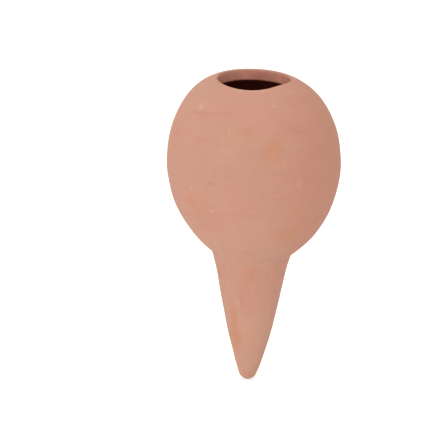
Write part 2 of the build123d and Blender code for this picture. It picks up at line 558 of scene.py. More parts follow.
def scattered_marks(seed, count, heights):
    """Marks like those of the front for the rest of the piece."""
    draw = np.random.RandomState(seed)
    marks = []
    for index in range(count):
        kind, *half_sizes = SCATTER_KINDS[index % len(SCATTER_KINDS)]
        ranges = (SCATTER_BEARINGS, heights, *half_sizes, SCATTER_TILTS, SCATTER_STRENGTHS)
        drawn = [draw.uniform(*limits) for limits in ranges]
        marks.append((kind, *drawn))
    return tuple(marks)


def spread_marks(piece, points, marks, places):
    """Notes on each point how much of every kind of mark it carries."""
    amounts = {kind: np.zeros(len(points)) for kind in MARK_KINDS}
    for (kind, bearing, _, half_width, half_height, tilt, strength), place in zip(marks, places):
        angle = FRONT + math.radians(bearing)
        side = np.array([-math.sin(angle), math.cos(angle), 0.0])
        lean = math.radians(tilt)
        offset = points - place
        across, up = offset @ side, offset[:, 2]
        wide = (across * math.cos(lean) + up * math.sin(lean)) / (half_width * MILLIMETRE)
        high = (up * math.cos(lean) - across * math.sin(lean)) / (half_height * MILLIMETRE)
        deep = (offset @ np.cross(side, (0, 0, 1))) / (max(half_width, half_height) * MILLIMETRE)
        far = wide * wide + high * high + DEPTH_WEIGHT * deep * deep
        amounts[kind] = np.maximum(amounts[kind], strength * np.exp(-FADE_RATE * far))
    for kind, values in amounts.items():
        note(piece, kind, values)
    return amounts


COLUMNS = 400
OUTSIDE_RINGS = 165
LIP_RINGS = 14
THROAT_RINGS = 12
EDGE_RINGS = 4
HOLLOW_RINGS = 46
BORE_RINGS = 3
# Where the lip and the cut wall end and where the hollow starts, counted in rings from the joint
LIP_END = OUTSIDE_RINGS + LIP_RINGS
WALL_END = LIP_END + THROAT_RINGS
HOLLOW_START = WALL_END + EDGE_RINGS
# Rings between which the skin gives way to freshly cut clay
CUT_START, CUT_END = OUTSIDE_RINGS + LIP_RINGS * 0.8, LIP_END + 2
# Ring where the relief starts to fade towards the lip, and how much of it goes
CALM_START, CALM_SHARE = OUTSIDE_RINGS - 12, 0.7
# Heights over the joint between which the relief of the bulb grows
BULB_RELIEF_START, BULB_RELIEF_END = 0.0015, 0.006
# Crest of the lip over its own ring, every 30 degrees from +X, in millimetres
LIP_RISES = (0.3, 0.18, 0.1, 0.05, 0.0, 0.1, 0.3, 0.2, -0.1, -0.15, 0.12, 0.2)
# How many rings the painted shade of the hollow creeps up the foot of the cut wall, every 30 degrees from +X
SHADE_CREEP_RINGS = (0.3, 0.1, 0.7, 1.9, 2.5, 2.9, 1.5, 0.6, 0.3, 0.3, 0.3, 0.3)
# Spread of the shoulder's swell, as a share of the bulb's height
SHOULDER_SHARE = 0.2
# How far the edges of the joint faces are rubbed back under the smear, as a share of its drop
EASED_SHARE = 0.25
# How far up the outside the rings start to turn to the mouth's middle and to follow its crest
TURN_SHARE, CREST_SHARE = 0.4, 0.82
# Tilt, in radians, at which the egg curve of the outside lies under the joint all round
LOWEST_TILT = -1.5
# Seed, count and heights in millimetres of the marks scattered over the bulb
BULB_SCATTER = (3, 54, (6.0, 62.0))


class Mouth:
    """Hand-cut mouth, by its reach from its own middle at each bearing."""

    def __init__(self, bulb, outside):
        self.bearings = ring_bearings(COLUMNS)
        self.ways = np.stack([np.cos(self.bearings), np.sin(self.bearings)], -1)
        self.middle = bulb.mouth_offset + float(outside.centre(bulb.height))
        self.reach = bulb.mouth_radius * around(MOUTH_SHARES, self.bearings)

    def ring(self, far, heights):
        """Ring at a distance from the mouth's middle."""
        return np.stack([self.middle + far * self.ways[:, 0], far * self.ways[:, 1], heights], -1)

    def over(self, egg, far):
        """Tilt, bearing and height of an egg's points at a distance from the mouth's middle."""
        return egg.locate(self.middle + far * self.ways[:, 0], far * self.ways[:, 1])

    def rounding(self, egg, radius, sign):
        """Distance, height and slope where a rounding of the cut edge meets an egg."""
        step = radius / 20
        far = self.reach + radius
        for _ in range(ROUNDING_ROUNDS):
            slope = (self.over(egg, far + step)[2] - self.over(egg, far - step)[2]) / (2 * step)
            far = self.reach + radius * (1 - sign * slope / np.hypot(1, slope))
        return far, self.over(egg, far)[2], slope

    def arc(self, radius, middle, angle):
        """Ring of a rounding of the cut edge, at an angle round its own middle."""
        return self.ring(self.reach + radius + radius * np.cos(angle), middle + radius * np.sin(angle))


def shortest_turn(bearings, others):
    """Turns that lead from bearings to others the short way round."""
    return np.angle(np.exp(1j * (others - bearings)))


def swell_bulb(points, outside):
    """Points of the bulb's outside with its swells and hollows."""
    centres = [bulb_place(outside, bearing, height * MILLIMETRE) for bearing, height, _, _ in BULB_SWELLS]
    return swell(points, centres, BULB_SWELLS, np.array([outside.foot, 0, outside.belly]))


def outside_rings(bulb, spike, slip, outside, mouth, lip_far):
    """Rings up the outside, from the joint to the lip."""

    def over_joint(tilt):
        return joint_height(outside.point(tilt, mouth.bearings), spike.lean) - slip.thickness / 2

    lip_tilt, lip_bearing, _ = mouth.over(outside, lip_far)
    foot_tilt = bisect(over_joint, np.full(COLUMNS, LOWEST_TILT), np.zeros(COLUMNS))
    drift = shortest_turn(mouth.bearings, lip_bearing)
    rises = MILLIMETRE * around(LIP_RISES, mouth.bearings)
    rings = []
    for share in np.linspace(0, 1, OUTSIDE_RINGS):
        tilt = foot_tilt + (lip_tilt - foot_tilt) * share
        ring = outside.point(tilt, mouth.bearings + drift * smooth_step(TURN_SHARE, 1, share))
        ring[:, 2] += rises * smooth_step(CREST_SHARE, 1, share)
        rings.append(ring)
    rings = swell_bulb(np.array(rings), outside)
    far = (rings[..., 2] - bulb.shoulder_height) / (SHOULDER_SHARE * bulb.height)
    grown = bulb.shoulder_swell * np.exp(-far * far) / np.hypot(rings[..., 0], rings[..., 1])
    rings[..., :2] *= 1 + grown[..., None]
    eased = joint_turn(rings[0], -spike.lean)
    eased[:, :2] *= 1 - slip.drop * EASED_SHARE / spike.root_radius
    rings[0] = joint_turn(eased, spike.lean)
    return list(rings)


def lip_rings(bulb, mouth, rounding, last):
    """Rings over the lip, from the last ring of the outside."""
    far, height, slope = rounding
    middle = height - bulb.lip_radius / np.hypot(1, slope)
    start = np.arctan2(1, -slope)
    shift = last - mouth.ring(far, height)
    turns = [start + (np.pi - start) * share for share in spacing(LIP_RINGS)]
    return [mouth.arc(bulb.lip_radius, middle, angle) + shift for angle in turns]


def throat_rings(bulb, mouth, rounding, last):
    """Rings down the cut wall, from the last ring of the lip, and round its lower edge."""
    _, height, slope = rounding
    middle = height + bulb.throat_edge_radius / np.hypot(1, slope)
    finish = 2 * np.pi + np.arctan2(-1, slope)
    turns = [np.pi + (finish - np.pi) * share for share in spacing(EDGE_RINGS)]
    wall = between(last, mouth.ring(mouth.reach, middle), THROAT_RINGS)
    return wall + [mouth.arc(bulb.throat_edge_radius, middle, angle) for angle in turns]


def hollow_rings(bulb, spike, hollow, mouth, edge_far):
    """Rings down the hollow to the neck bore."""

    def bore_ring(heights):
        return joint_ring(spike, mouth.bearings, spike.bore_radius, heights)

    def over_floor(heights):
        ring = bore_ring(heights)
        return ring[:, 2] - hollow.locate(ring[:, 0], ring[:, 1], upper=False)[2]

    highest = np.full(COLUMNS, 3 * bulb.floor)
    bore_top = bore_ring(bisect(over_floor, np.zeros(COLUMNS), highest))
    floor_tilt, floor_bearing, _ = hollow.locate(bore_top[:, 0], bore_top[:, 1], upper=False)
    edge_tilt, edge_bearing, _ = mouth.over(hollow, edge_far)
    top_drift = shortest_turn(mouth.bearings, edge_bearing)
    floor_drift = shortest_turn(mouth.bearings, floor_bearing)
    rings = []
    for share in spacing(HOLLOW_RINGS):
        tilt = edge_tilt + (floor_tilt - edge_tilt) * share
        drift = top_drift * smooth_step(0.5, 1, 1 - share) + floor_drift * smooth_step(0.5, 1, share)
        rings.append(hollow.point(tilt, mouth.bearings + drift))
    return rings


def bulb_rings(bulb, spike, slip, outside):
    """Rings up the outside, over the lip, down the cut wall and hollow, and out along the joint face."""
    hollow = hollow_egg(bulb, spike)
    mouth = Mouth(bulb, outside)
    lip = mouth.rounding(outside, bulb.lip_radius, 1)
    edge = mouth.rounding(hollow, bulb.throat_edge_radius, -1)
    rings = outside_rings(bulb, spike, slip, outside, mouth, lip[0])
    rings += lip_rings(bulb, mouth, lip, rings[-1])
    rings += throat_rings(bulb, mouth, edge, rings[-1])
    rings += hollow_rings(bulb, spike, hollow, mouth, edge[0])
    bore_foot = joint_ring(spike, mouth.bearings, spike.bore_radius, slip.thickness / 2)
    rings += between(rings[-1], bore_foot, BORE_RINGS)
    rings += between(bore_foot, rings[0], BORE_RINGS + 1)[:-1]
    return rings


# Depth of the listed pits
PIT_DEPTH = 0.00035


def sink(piece, points, amount):
    """Presses the listed pits into the surface, along its own normals."""
    normals = np.zeros(len(points) * 3, np.float32)
    piece.data.vertices.foreach_get("normal", normals)
    move(piece, points - normals.reshape(-1, 3) * (amount * PIT_DEPTH)[:, None])


def make_bulb(bulb, spike, slip):
    """Bulb with the notes that its finish and its clay read."""
    outside = outer_egg(bulb, spike)
    rings = bulb_rings(bulb, spike, slip, outside)
    piece = skin("clay_bulb", rings)
    points = positions(piece)
    rows = np.repeat(np.arange(len(rings)), COLUMNS)
    # The hollow's note, and with it its painted shade, creeps up the foot of the cut wall by these rings
    shade_creep = around(SHADE_CREEP_RINGS, np.tile(ring_bearings(COLUMNS), len(rings)))
    inside = smooth_step(WALL_END - shade_creep, HOLLOW_START + 1 - shade_creep, rows)
    note(piece, "inside", inside)
    note(piece, "cut", smooth_step(CUT_START, CUT_END, rows))
    # Painted shade on the right flank, kept under drift
    note(piece, "drift", painted_flank_shade(points))
    joint_near = smooth_step(BULB_RELIEF_START, BULB_RELIEF_END, points[:, 2])
    lip_near = 1 - CALM_SHARE * smooth_step(CALM_START, OUTSIDE_RINGS, rows) * (rows < HOLLOW_START)
    note(piece, "relief", joint_near * lip_near)
    marks = BULB_MARKS + scattered_marks(*BULB_SCATTER)
    amounts = spread_marks(piece, points, marks, bulb_places(outside, marks))
    sink(piece, points, amounts["pit"] ** 2 * (1 - inside))
    return piece


SPIKE_COLUMNS = 288
SIDE_RINGS = 112
TIP_RINGS = 14
BORE_SIDE_RINGS = 34
BORE_END_RINGS = 8
# Depths under the joint between which the relief of the spike grows
SPIKE_RELIEF_START, SPIKE_RELIEF_END = 0.0012, 0.005
# Seed, count and heights in millimetres of the marks scattered over the spike
SPIKE_SCATTER = (8, 24, (-40.0, -4.0))
# Angle round the tip's rounding at which the side runs into it
TIP_ANGLE = math.atan2(1, TIP_SLOPE)


def smooth_line(knots, last_slope, where):
    """Cubic curve through knots, with a set slope at its end."""
    x, y = np.array(knots).T
    chords = np.diff(y) / np.diff(x)
    slopes = np.concatenate([[chords[0]], (chords[1:] + chords[:-1]) / 2, [last_slope]])
    part = np.clip(np.searchsorted(x, where) - 1, 0, len(x) - 2)
    width = x[part + 1] - x[part]
    share = (where - x[part]) / width
    rest = 1 - share
    value = y[part] * (1 + 2 * share) * rest**2 + y[part + 1] * (3 - 2 * share) * share**2
    return value + width * share * rest * (slopes[part] * rest - slopes[part + 1] * share)


def side_depth(spike):
    """Depth under the joint at which the spike's side runs into its tip."""
    return spike.length - spike.tip_radius * (1 - math.cos(TIP_ANGLE))


def spike_radius(spike, depth):
    """Radius of the spike's side at a depth under the joint."""
    end_knot = (side_depth(spike) / spike.length, spike.tip_radius * math.sin(TIP_ANGLE) / spike.root_radius)
    last_slope = -TIP_SLOPE * spike.length / spike.root_radius
    return spike.root_radius * smooth_line(SPIKE_SHARES + (end_knot,), last_slope, depth / spike.length)


def spike_place(spike, bearing, height):
    """Point on the side of the upright spike."""
    radius = float(spike_radius(spike, np.array([-height]))[0])
    angle = FRONT + math.radians(bearing)
    return np.array([radius * math.cos(angle), radius * math.sin(angle), height])


def spike_places(spike, marks):
    """Points of the marks on the upright spike."""
    return [spike_place(spike, bearing, height * MILLIMETRE) for _, bearing, height, *_ in marks]


def bore_outline(spike, root):
    """Radius and height of the rings up the bore and out along the joint face."""
    end_radius = spike.bore_end_radius
    turn_height = spike.tip_thickness - spike.length + end_radius
    outline = []
    for angle in spacing(BORE_END_RINGS) * np.pi / 2:
        outline.append((end_radius * math.sin(angle), turn_height - end_radius * math.cos(angle)))
    low, high = np.array([(end_radius, turn_height), (spike.bore_radius, 0)])
    bore_root = low + (high - low) * ((root - turn_height) / -turn_height)
    outline += between(low, bore_root, BORE_SIDE_RINGS)
    outline += between(bore_root, np.array([spike.root_radius, root]), BORE_RINGS)
    return outline


def side_outline(spike, root):
    """Radius and height of the rings down the side and round the tip."""
    depths = -root + (side_depth(spike) + root) * spacing(SIDE_RINGS)
    outline = list(zip(spike_radius(spike, depths), -depths))
    for share in spacing(TIP_RINGS)[:-1]:
        angle = TIP_ANGLE * (1 - share)
        height = spike.tip_radius * (1 - math.cos(angle)) - spike.length
        outline.append((spike.tip_radius * math.sin(angle), height))
    return outline


def make_spike(spike, slip):
    """Hollow spike from the end of its bore, over the joint face and down to its tip."""
    bearings = ring_bearings(SPIKE_COLUMNS)
    root = -slip.thickness / 2
    outline = bore_outline(spike, root)
    outline[-1] = (spike.root_radius - slip.drop * EASED_SHARE, root)
    side_start = len(outline)
    outline += side_outline(spike, root)
    rings = np.array(
        [
            np.stack([radius * np.cos(bearings), radius * np.sin(bearings), height + 0 * bearings], -1)
            for radius, height in outline
        ]
    )
    side = rings[side_start:]
    centres = [spike_place(spike, bearing, height * MILLIMETRE) for bearing, height, _, _ in SPIKE_SWELLS]
    rings[side_start:] = swell(side, centres, SPIKE_SWELLS, side * np.array([0, 0, 1]))
    poles = np.array([[0, 0, spike.tip_thickness - spike.length], [0, 0, -spike.length]])
    piece = skin("clay_spike", list(rings), poles=list(poles))
    rows = np.concatenate([np.repeat(np.arange(len(rings)), SPIKE_COLUMNS), [0, len(rings)]])
    points = positions(piece)
    note(piece, "inside", 1.0 * (rows < side_start))
    note(piece, "relief", smooth_step(SPIKE_RELIEF_START, SPIKE_RELIEF_END, -points[:, 2]))
    # Painted light: the tone grows paler towards the tip, kept under drift
    note(piece, "drift", smooth_step(TIP_LIGHT_START, TIP_LIGHT_END, -points[:, 2]))
    marks = SPIKE_MARKS + scattered_marks(*SPIKE_SCATTER)
    amounts = spread_marks(piece, points, marks, spike_places(spike, marks))
    sink(piece, points, amounts["pit"] ** 2)
    move(piece, joint_turn(positions(piece), spike.lean))
    return piece


SLIP_COLUMNS = 288
SMEAR_RINGS = 14
FACE_RINGS = 3
BEAD_RINGS = 12
# How far the smear's edges wander, every 30 degrees from +X, as shares of its rise and drop
SMEAR_SHARES = (1.2, 1.2, 1.2, 1.2, 1.25, 1.2, 1.15, 1.2, 1.7, 1.9, 1.75, 1.35)
# Heights between which the smear meets the bulb's underside, as shares of half the slip's thickness
HEAD_SHARES = (-4, 20)


def slip_rings(spike, slip, outside):
    """Rings up the smear, in under the bulb, round the bead in the bore and out over the spike."""
    bearings = ring_bearings(SLIP_COLUMNS)
    wander = around(SMEAR_SHARES, bearings)
    half = slip.thickness / 2
    spread = spike.root_radius + slip.spread * wander

    def ring(radius, height):
        return joint_ring(spike, bearings, radius, height)

    def over_skin(height):
        """How far the smear's upper edge lies over the bulb's underside."""
        place = ring(spread, height)
        return place[:, 2] - outside.locate(place[:, 0], place[:, 1], upper=False)[2]

    drop = half + slip.drop * wander
    foot = ring(spike_radius(spike, drop) - slip.feather, -drop)
    under_bulb = bisect(over_skin, *(np.full(SLIP_COLUMNS, half * share) for share in HEAD_SHARES))
    head = swell_bulb(ring(spread, under_bulb + slip.feather), outside)
    corner = ring(spike.root_radius + slip.proud, 0)
    rings = []
    for share in np.linspace(0, 1, SMEAR_RINGS):
        rings.append(foot * (1 - share) ** 2 + 2 * corner * share * (1 - share) + head * share**2)
    covered = spike.root_radius - slip.drop
    bead = slip.inner_bead
    rings += between(rings[-1], ring(covered, half), FACE_RINGS)
    rings += between(rings[-1], ring(spike.bore_radius + bead, half), FACE_RINGS)
    for share in np.linspace(0, 1, BEAD_RINGS):
        angle = np.pi / 2 + np.pi * share
        rings.append(ring(spike.bore_radius + bead * np.cos(angle), bead * np.sin(angle)))
    rings.append(ring(spike.bore_radius + bead, -half))
    rings += between(rings[-1], ring(covered, -half), FACE_RINGS)
    rings += between(rings[-1], rings[0], 2)[:-1]
    return rings


def make_slip(bulb, spike, slip):
    """Ring of slip: smeared over the outside corner, squeezed into the bore."""
    outside = outer_egg(bulb, spike)
    rings = slip_rings(spike, slip, outside)
    piece = skin("slip_joint", rings)
    points = positions(piece)
    rows = np.repeat(np.arange(len(rings)), SLIP_COLUMNS)
    for name in ("relief", "cut"):
        note(piece, name, np.zeros(len(rows)))
    # Painted shade on the right flank, kept under drift
    note(piece, "drift", painted_flank_shade(points))
    upright = spike_places(spike, SPIKE_MARKS)
    places = bulb_places(outside, BULB_MARKS) + list(joint_turn(np.array(upright), spike.lean))
    spread_marks(piece, points, BULB_MARKS + SPIKE_MARKS, places)
    note(piece, "inside", 1.0 * (rows > SMEAR_RINGS + FACE_RINGS))
    return piece


# Trees of nodes


class Wiring:
    """Adds nodes to a tree and joins their sockets."""

    def __init__(self, tree):
        self.tree = tree

    def add(self, kind, inputs=None, **traits):
        """New node. inputs maps a socket's name or number to a socket or a value."""
        node = self.tree.nodes.new(kind)
        for name, value in traits.items():
            setattr(node, name, value)
        for name, value in (inputs or {}).items():
            socket = node.inputs[name]
            if isinstance(value, bpy.types.NodeSocket):
                self.tree.links.new(value, socket)
            else:
                socket.default_value = value
        return node

    def math(self, operation, *values):
        """Result of a Math node."""
        return self.add("ShaderNodeMath", dict(enumerate(values)), operation=operation).outputs[0]

    def times(self, first, second):
        """Product of two numbers."""
        return self.math("MULTIPLY", first, second)

    def swayed(self, base, noise, depth):
        """Number moved up and down by noise about its middle."""
        return self.math("MULTIPLY_ADD", self.math("SUBTRACT", noise, 0.5), depth, base)

    def vector(self, x=0.0, y=0.0, z=0.0):
        """Vector of three numbers."""
        return self.add("ShaderNodeCombineXYZ", {0: x, 1: y, 2: z}).outputs[0]

    def scaled(self, vector, scales):
        """Vector with each part multiplied."""
        node = self.add("ShaderNodeVectorMath", {0: vector, 1: scales}, operation="MULTIPLY")
        return node.outputs[0]

    def noise(self, vector, scale, detail=2.0, roughness=0.5, seed=None):
        """Soft noise from 0 to 1, or a slice of 4D noise picked by a seed."""
        inputs = {"Vector": vector, "Scale": scale, "Detail": detail, "Roughness": roughness}
        if seed is None:
            return self.add("ShaderNodeTexNoise", inputs).outputs[0]
        return self.add("ShaderNodeTexNoise", {**inputs, "W": seed}, noise_dimensions="4D").outputs[0]

    def ramp(self, value, low, high):
        """0 at low, 1 at high and a soft rise between."""
        inputs = {"Value": value, "From Min": low, "From Max": high}
        return self.add("ShaderNodeMapRange", inputs, interpolation_type="SMOOTHSTEP").outputs[0]

    def kept(self, name):
        """Field of a number noted on the points."""
        traits = {"data_type": "FLOAT"}
        return self.add("GeometryNodeInputNamedAttribute", {"Name": name}, **traits).outputs[0]

    def keep(self, geometry, name, value, domain="POINT"):
        """Geometry with a number noted on its points or instances."""
        inputs = {"Geometry": geometry, "Name": name, "Value": value}
        traits = {"data_type": "FLOAT", "domain": domain}
        return self.add("GeometryNodeStoreNamedAttribute", inputs, **traits).outputs[0]

    def close(self, geometry, material):
        """Ends a geometry tree with plain meshes in their material."""
        real = self.add("GeometryNodeRealizeInstances", {"Geometry": geometry}).outputs[0]
        inputs = {"Geometry": real, "Material": material}
        dressed = self.add("GeometryNodeSetMaterial", inputs).outputs[0]
        self.add("NodeGroupOutput", {"Geometry": dressed})


SOCKET_KINDS = {
    "geometry": "NodeSocketGeometry",
    "length": "NodeSocketFloat",
    "number": "NodeSocketFloat",
    "whole": "NodeSocketInt",
    "material": "NodeSocketMaterial",
}


def new_tree(name, rows):
    """Geometry tree with named inputs, their identifiers, its wiring and the sockets that its nodes read."""
    tree = bpy.data.node_groups.new(name, "GeometryNodeTree")
    identifiers = {}
    for label, kind in rows:
        socket = tree.interface.new_socket(label, in_out="INPUT", socket_type=SOCKET_KINDS[kind])
        if kind == "length":
            socket.subtype = "DISTANCE"
        identifiers[label] = socket.identifier
    tree.interface.new_socket("Geometry", in_out="OUTPUT", socket_type="NodeSocketGeometry")
    wiring = Wiring(tree)
    return tree, identifiers, wiring, wiring.add("NodeGroupInput").outputs


SKIN_INPUTS = (
    ("Geometry", "geometry"),
    ("Ring Pitch", "length"),
    ("Ring Depth", "length"),
    ("Across Stretch", "number"),
    ("Along Stretch", "number"),
    ("Finger Pitch", "length"),
    ("Finger Depth", "length"),
    ("Lump Pitch", "length"),
    ("Lump Depth", "length"),
    ("Pit Spacing", "length"),
    ("Pit Radius", "length"),
    ("Pit Depth", "length"),
    ("Seed", "number"),
    ("Material", "material"),
)
# Scales that draw the noise of the throwing ridges out round the hollow
FINGER_STRETCH = (0.06, 0.06, 1.0)
# Radius of a pore's flat bottom, as a share of its own
PORE_BOTTOM_SHARE = 0.25


def pores(wiring, place, given):
    """1 in the middle of a pore and 0 outside it."""
    scale = wiring.math("DIVIDE", 1.0, given["Pit Spacing"])
    inputs = {"Vector": place, "W": given["Seed"], "Scale": scale}
    cells = wiring.add("ShaderNodeTexVoronoi", inputs, voronoi_dimensions="4D")
    far = wiring.times(cells.outputs["Distance"], given["Pit Spacing"])
    bottom = wiring.times(given["Pit Radius"], PORE_BOTTOM_SHARE)
    return wiring.math("SUBTRACT", 1.0, wiring.ramp(far, bottom, given["Pit Radius"]))


def finish_tree():
    """Tree that presses rings, ridges, soft lumps and pores into a clay skin."""
    tree, identifiers, wiring, given = new_tree("Clay Skin", SKIN_INPUTS)
    place = wiring.add("GeometryNodeInputPosition").outputs[0]
    normal = wiring.add("GeometryNodeInputNormal").outputs[0]
    inside = wiring.kept("inside")
    outside = wiring.math("SUBTRACT", 1.0, inside)

    def waves(vector, pitch, detail, roughness, low, high, density=1.0):
        """Noise with features of one pitch, drawn apart between a low and a high."""
        scale = wiring.math("DIVIDE", density, given[pitch])
        return wiring.ramp(wiring.noise(vector, scale, detail, roughness, given["Seed"]), low, high)

    across = given["Across Stretch"]
    streaked = wiring.scaled(place, wiring.vector(across, across, given["Along Stretch"]))
    calm = waves(place, "Lump Pitch", detail=1.0, roughness=0.5, low=0.35, high=0.65, density=0.8)
    ring_depth = wiring.times(wiring.times(given["Ring Depth"], calm), outside)
    rings = waves(streaked, "Ring Pitch", detail=2.0, roughness=0.6, low=0.3, high=0.7)
    total = wiring.times(rings, ring_depth)

    level = wiring.scaled(place, FINGER_STRETCH)
    fingers = waves(level, "Finger Pitch", detail=1.0, roughness=0.4, low=0.35, high=0.65)
    ridges = wiring.times(fingers, wiring.times(given["Finger Depth"], inside))
    total = wiring.math("SUBTRACT", total, ridges)

    lumps = waves(place, "Lump Pitch", detail=2.0, roughness=0.45, low=0.25, high=0.75)
    total = wiring.math("MULTIPLY_ADD", lumps, given["Lump Depth"], total)

    pits = wiring.times(pores(wiring, place, given), outside)
    total = wiring.math("MULTIPLY_ADD", pits, given["Pit Depth"], total)

    inward = wiring.times(total, wiring.times(wiring.kept("relief"), -1.0))
    offset = wiring.add("ShaderNodeVectorMath", {0: normal, "Scale": inward}, operation="SCALE").outputs[0]
    seen_pits = wiring.math("MAXIMUM", wiring.kept("pit"), wiring.times(pits, wiring.kept("relief")))
    noted_skin = wiring.keep(given["Geometry"], "pit", seen_pits)
    moved = wiring.add("GeometryNodeSetPosition", {"Geometry": noted_skin, "Offset": offset}).outputs[0]
    wiring.close(moved, given["Material"])
    return tree, identifiers


def bake_tree(piece, tree, identifiers, values):
    """Runs a geometry tree on a piece and keeps the result as its plain mesh."""
    modifier = piece.modifiers.new(tree.name, "NODES")
    modifier.node_group = tree
    for name, value in values.items():
        modifier[identifiers[name]] = value
    evaluated = piece.evaluated_get(bpy.context.evaluated_depsgraph_get())
    mesh = bpy.data.meshes.new_from_object(evaluated)
    old = piece.data
    piece.modifiers.remove(modifier)
    piece.data = mesh
    mesh.name = piece.name
    bpy.data.meshes.remove(old)


# Scales across and along the axis that draw the relief's noise out into level rings or upright pulls
LEVEL_STRETCH = (0.05, 1.0)
UPRIGHT_STRETCH = (1.0, 0.08)


def press_finish(piece, material, ring_share=1.0, upright=False, pit_share=1.0):
    """Gives a piece the relief of its clay."""
    finish = settings().finish
    tree, identifiers = finish_tree()
    across, along = UPRIGHT_STRETCH if upright else LEVEL_STRETCH
    values = {
        "Ring Pitch": finish.ring_pitch,
        "Ring Depth": finish.ring_depth * ring_share,
        "Across Stretch": across,
        "Along Stretch": along,
        "Finger Pitch": finish.finger_pitch,
        "Finger Depth": finish.finger_depth,
        "Lump Pitch": finish.lump_pitch,
        "Lump Depth": finish.lump_depth,
        "Pit Spacing": finish.pit_spacing,
        "Pit Radius": finish.pit_radius,
        "Pit Depth": finish.pit_depth * pit_share,
        "Seed": float(finish.seed),
        "Material": material,
    }
    bake_tree(piece, tree, identifiers, values)


GRIT_INPUTS = (
    ("Geometry", "geometry"),
    ("Grains per Square Metre", "number"),
    ("Grain Radius", "length"),
    ("Sunk Share", "number"),
    ("Seed", "whole"),
    ("Material", "material"),
)
# Sides of a grain, as shares of its width
GRAIN_SHARES = (1.0, 0.8, 0.5)
# Smallest grain, as a share of the largest
SMALLEST_SHARE = 0.3
# Sum of the notes for inside and cut from which on no grain shows
HIDDEN_NOTE = 0.2


def grit_tree():
    """Tree that sets small flat grains into the outside of a clay skin."""
    tree, identifiers, wiring, given = new_tree("Grit", GRIT_INPUTS)

    def draw(low, high, offset):
        """Random number for each grain."""
        inputs = {2: low, 3: high, "Seed": wiring.math("ADD", given["Seed"], float(offset))}
        return wiring.add("FunctionNodeRandomValue", inputs, data_type="FLOAT").outputs[1]

    hidden = wiring.math("ADD", wiring.kept("inside"), wiring.kept("cut"))
    test = {"data_type": "FLOAT", "operation": "LESS_THAN"}
    shown = wiring.add("FunctionNodeCompare", {0: hidden, 1: HIDDEN_NOTE}, **test).outputs[0]
    inputs = {
        "Mesh": given["Geometry"],
        "Selection": shown,
        "Density": given["Grains per Square Metre"],
        "Seed": given["Seed"],
    }
    way = {"distribute_method": "RANDOM"}
    scatter = wiring.add("GeometryNodeDistributePointsOnFaces", inputs, **way).outputs
    inputs = {"Radius": given["Grain Radius"], "Subdivisions": 1}
    grain = wiring.add("GeometryNodeMeshIcoSphere", inputs).outputs[0]
    flat = wiring.add("GeometryNodeTransform", {"Geometry": grain, "Scale": GRAIN_SHARES}).outputs[0]

    wide = wiring.math("POWER", draw(0.0, 1.0, 1), 2.0)
    scale = wiring.math("MULTIPLY_ADD", wide, 1 - SMALLEST_SHARE, SMALLEST_SHARE)
    inputs = {
        "Points": scatter["Points"],
        "Instance": flat,
        "Rotation": scatter["Rotation"],
        "Scale": scale,
    }
    placed = wiring.add("GeometryNodeInstanceOnPoints", inputs).outputs[0]
    spin = wiring.vector(z=draw(0.0, math.tau, 2))
    spun = wiring.add("GeometryNodeRotateInstances", {"Instances": placed, "Rotation": spin}).outputs[0]
    depth = wiring.times(wiring.times(given["Grain Radius"], given["Sunk Share"]), -GRAIN_SHARES[2])
    inputs = {"Instances": spun, "Translation": wiring.vector(z=wiring.times(depth, scale))}
    sunk = wiring.add("GeometryNodeTranslateInstances", inputs).outputs[0]
    wiring.close(wiring.keep(sunk, "tone", draw(0.0, 1.0, 3), "INSTANCE"), given["Material"])
    return tree, identifiers


# Clay materials

WHITE = (1, 1, 1, 1)
# Glow that lifts the floor towards white
FLOOR_GLOW = 0.5
# Noises of the clay by name: scale, which is one over the size of a feature in metres, detail and roughness
EVEN_NOISES = {
    "clouds": (45.0, 2.0, 0.55),
    "patches": (190.0, 3.0, 0.6),
    "edge": (420.0, 3.0, 0.65),
    "grain": (2600.0, 3.0, 0.65),
}
# Stretched noises: scales for level turning lines, scales for upright pulls, detail and roughness
STROKE_NOISES = {
    "streaks": ((34.0, 34.0, 330.0), (260.0, 260.0, 34.0), 3.0, 0.6),
    "lines": ((40.0, 40.0, 1500.0), (1500.0, 1500.0, 60.0), 2.0, 0.6),
    "strokes": ((80.0, 80.0, 700.0), (700.0, 700.0, 80.0), 3.0, 0.6),
    "smudges": ((260.0, 260.0, 210.0), (260.0, 260.0, 210.0), 2.0, 0.5),
}
# Looks of the marks: kind, strength, how ragged their edges are and which noise makes them so
MARK_LOOKS = (
    ("bloom", 0.7, 1.2, "edge"),
    ("blush", 0.75, 1.3, "strokes"),
    ("rust", 0.85, 0.8, "edge"),
    ("lime", 0.7, 0.4, "edge"),
)
# How much of the painted light and shade of the flank and tip, of the streaks and of the pores' shade shows
# at most
PAINTED_LIGHT_SHARE, STREAK_SHARE, PORE_SHARE = 0.85, 0.35, 0.4
# How far noises lighten and darken the clay, as shares of its colour
TONE_SHARES = (("lines", 0.06), ("grain", 0.16), ("patches", 0.07))
# The same for the smudges on the cut wall
SMUDGE_SHARE = 0.6
# Heights between which painted shade darkens the hollow towards the crown
CROWN_SHADE_START, CROWN_SHADE_END = 0.030, 0.050
# Depth of the finest relief, which the light alone shows
BUMP_DEPTH = 0.00006


def new_material(name):
    """Empty material and its wiring."""
    material = bpy.data.materials.new(name)
    material.use_nodes = True
    material.node_tree.nodes.clear()
    return material, Wiring(material.node_tree)


def mixed(wiring, factor, first, second):
    """Colour between two colours."""
    node = wiring.add("ShaderNodeMix", {0: factor, 6: first, 7: second}, data_type="RGBA")
    return node.outputs[2]


def opaque(rgb):
    """Colour with full alpha."""
    return (*rgb, 1.0)


def noted(wiring, name):
    """Number noted on the points of a piece."""
    return wiring.add("ShaderNodeAttribute", attribute_name=name).outputs["Fac"]


def object_place(wiring):
    """Place in the piece's own frame."""
    return wiring.add("ShaderNodeTexCoord").outputs["Object"]


